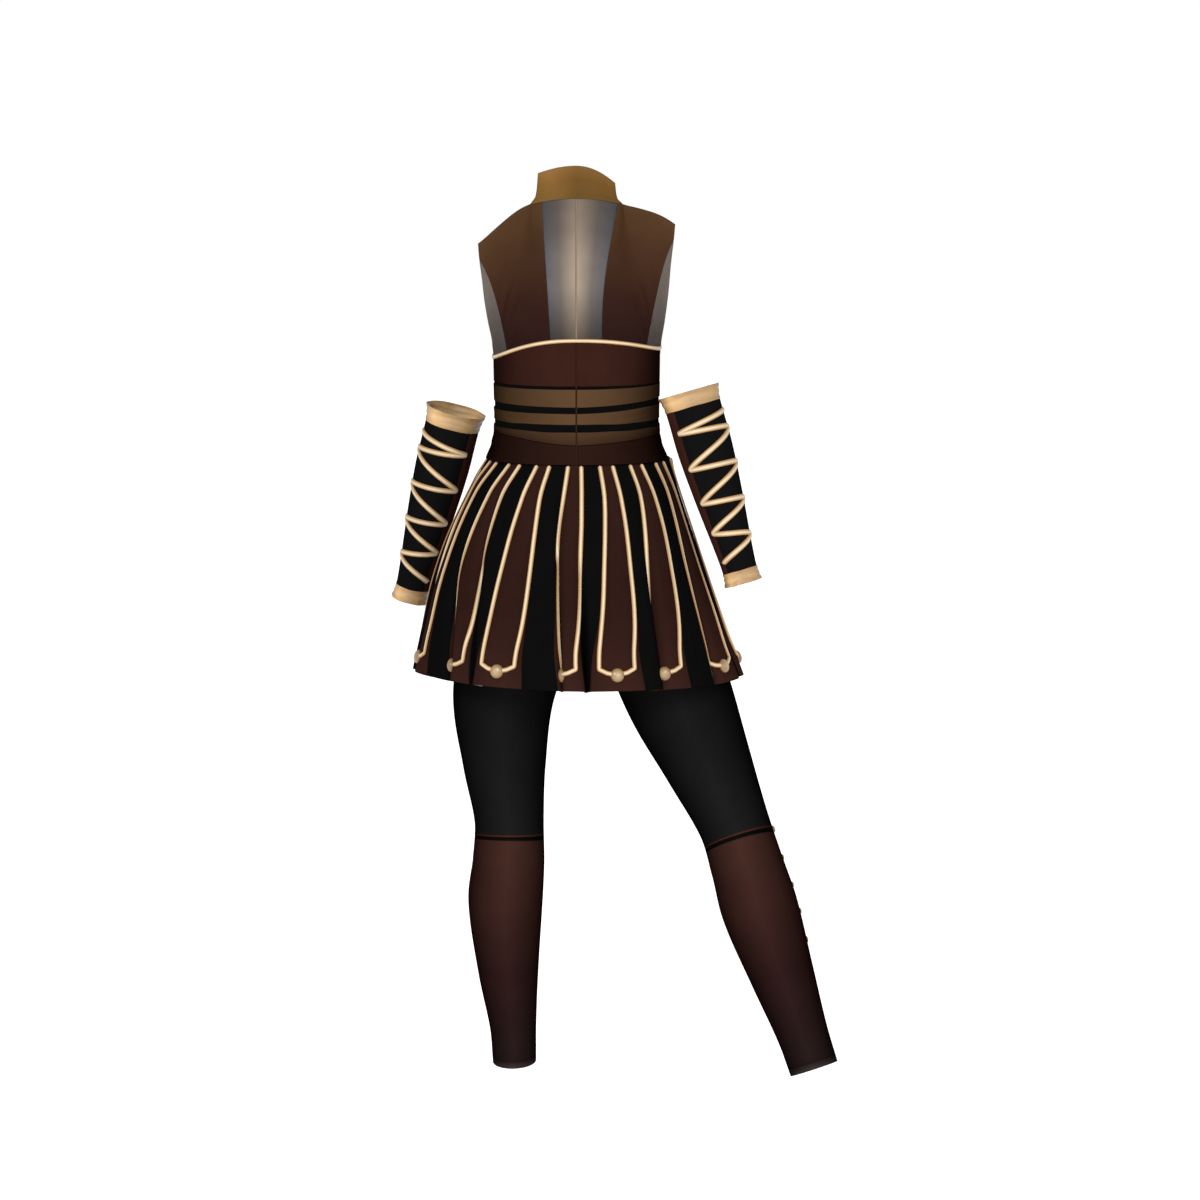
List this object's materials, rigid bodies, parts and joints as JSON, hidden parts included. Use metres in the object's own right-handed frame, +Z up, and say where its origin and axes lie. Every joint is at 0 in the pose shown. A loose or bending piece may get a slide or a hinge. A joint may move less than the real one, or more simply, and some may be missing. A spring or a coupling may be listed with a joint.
{
  "type": "cheer uniform",
  "caption": "Cheer uniform of a sleeveless high-collar dress with a flared tab skirt, full leggings with a boot look, and laced forearm gauntlets.",
  "frame": {"origin": "centre of the waist seam, where the skirt is sewn to the waistband", "axes": "+Z up along the wearer's spine, -Y the way the wearer faces, +X to the wearer's left"},
  "size_m": [0.7058, 0.4481, 1.4527],
  "materials": {
    "wine_cloth": "matte printed stretch knit",
    "olive_cloth": "matte printed stretch knit, shaded",
    "black_cloth": "matte stretch knit with a soft sheen",
    "strap_cloth": "matte printed stretch knit",
    "bronze_cloth": "satin stretch knit",
    "gold_cloth": "satin stretch knit",
    "gold_trim": "satin metallic-look cord",
    "sheer_mesh": "sheer power mesh"
  },
  "bodies": {
    "leggings": {"leggings_waist": "black_cloth", "leggings_hips": "black_cloth", "thigh_left": "black_cloth", "knee_band_left": "black_cloth", "boot_left": "wine_cloth", "ankle_hem_left": "wine_cloth", "shin_lacing_left": "gold_trim", "thigh_right": "black_cloth", "knee_band_right": "black_cloth", "boot_right": "wine_cloth", "ankle_hem_right": "wine_cloth", "shin_lacing_right": "gold_trim"},
    "dress": {"collar": "bronze_cloth", "front_panel": "olive_cloth", "chest_piping": "gold_trim", "bodice_back": "wine_cloth", "bodice_front": "wine_cloth", "waist_wrap": "black_cloth", "waistband": "wine_cloth", "back_mesh_left": "sheer_mesh", "back_panel_left": "olive_cloth", "side_mesh_left": "sheer_mesh", "back_mesh_right": "sheer_mesh", "back_panel_right": "olive_cloth", "side_mesh_right": "sheer_mesh", "waist_strap_upper": "strap_cloth", "waist_strap_middle": "strap_cloth", "waist_strap_lower": "strap_cloth", "skirt_panel_1": "black_cloth", "skirt_panel_2": "black_cloth", "skirt_panel_3": "black_cloth", "skirt_panel_4": "black_cloth", "skirt_tab_1": "wine_cloth", "skirt_tab_2": "wine_cloth", "skirt_tab_3": "wine_cloth", "skirt_tab_4": "wine_cloth", "skirt_tab_5": "wine_cloth", "skirt_tab_6": "wine_cloth", "skirt_tab_7": "wine_cloth", "skirt_tab_8": "wine_cloth", "skirt_tab_9": "wine_cloth", "skirt_tab_10": "wine_cloth", "skirt_tab_11": "wine_cloth", "skirt_tab_12": "wine_cloth", "skirt_tab_13": "wine_cloth", "skirt_tab_14": "wine_cloth", "skirt_tab_15": "wine_cloth", "skirt_tab_16": "wine_cloth"},
    "left_gauntlet": {"upper_cuff_left": "gold_cloth", "gauntlet_sleeve_left": "black_cloth", "wrist_cuff_left": "gold_cloth", "gauntlet_lacing_left": "gold_trim"},
    "right_gauntlet": {"upper_cuff_right": "gold_cloth", "gauntlet_sleeve_right": "black_cloth", "wrist_cuff_right": "gold_cloth", "gauntlet_lacing_right": "gold_trim"}
  },
  "joints": [
    {"name": "dress_lift", "type": "slide", "parent": "leggings", "child": "dress", "axis": [0, 0, 1], "range_m": [0, 0.42]},
    {"name": "left_gauntlet_pull", "type": "slide", "parent": "dress", "child": "left_gauntlet", "axis": [0.2444, -0.094, -0.9651], "range_m": [0, 0.22]},
    {"name": "right_gauntlet_pull", "type": "slide", "parent": "dress", "child": "right_gauntlet", "axis": [-0.2771, 0.1043, -0.9552], "range_m": [0, 0.22]}
  ]
}
